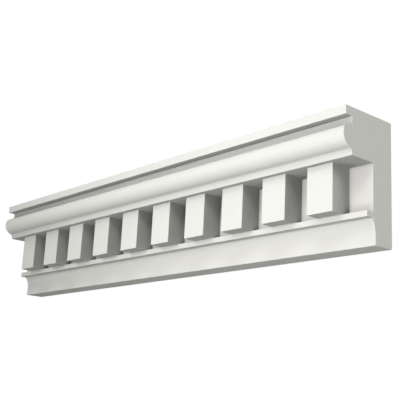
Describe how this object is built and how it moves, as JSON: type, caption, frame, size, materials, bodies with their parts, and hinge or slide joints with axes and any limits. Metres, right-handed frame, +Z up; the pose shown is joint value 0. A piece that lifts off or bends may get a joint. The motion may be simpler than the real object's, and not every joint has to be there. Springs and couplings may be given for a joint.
{
  "type": "cornice moulding length",
  "caption": "Straight one-piece dentil cornice moulding with a rounded crown over a row of square dentils, cut square at both ends to be fixed along the top of a wall.",
  "frame": {"origin": "centre of the flat wall face at the back, halfway along the length and halfway up the height", "axes": "+X along the moulding, +Y into the wall, so the moulding stands out towards -Y, and +Z up"},
  "size_m": [1.006, 0.115, 0.2],
  "materials": {
    "primed_face": "moulded rigid foam with a smooth matte warm-white primer"
  },
  "bodies": {
    "root": {"cornice": "primed_face"}
  },
  "joints": []
}
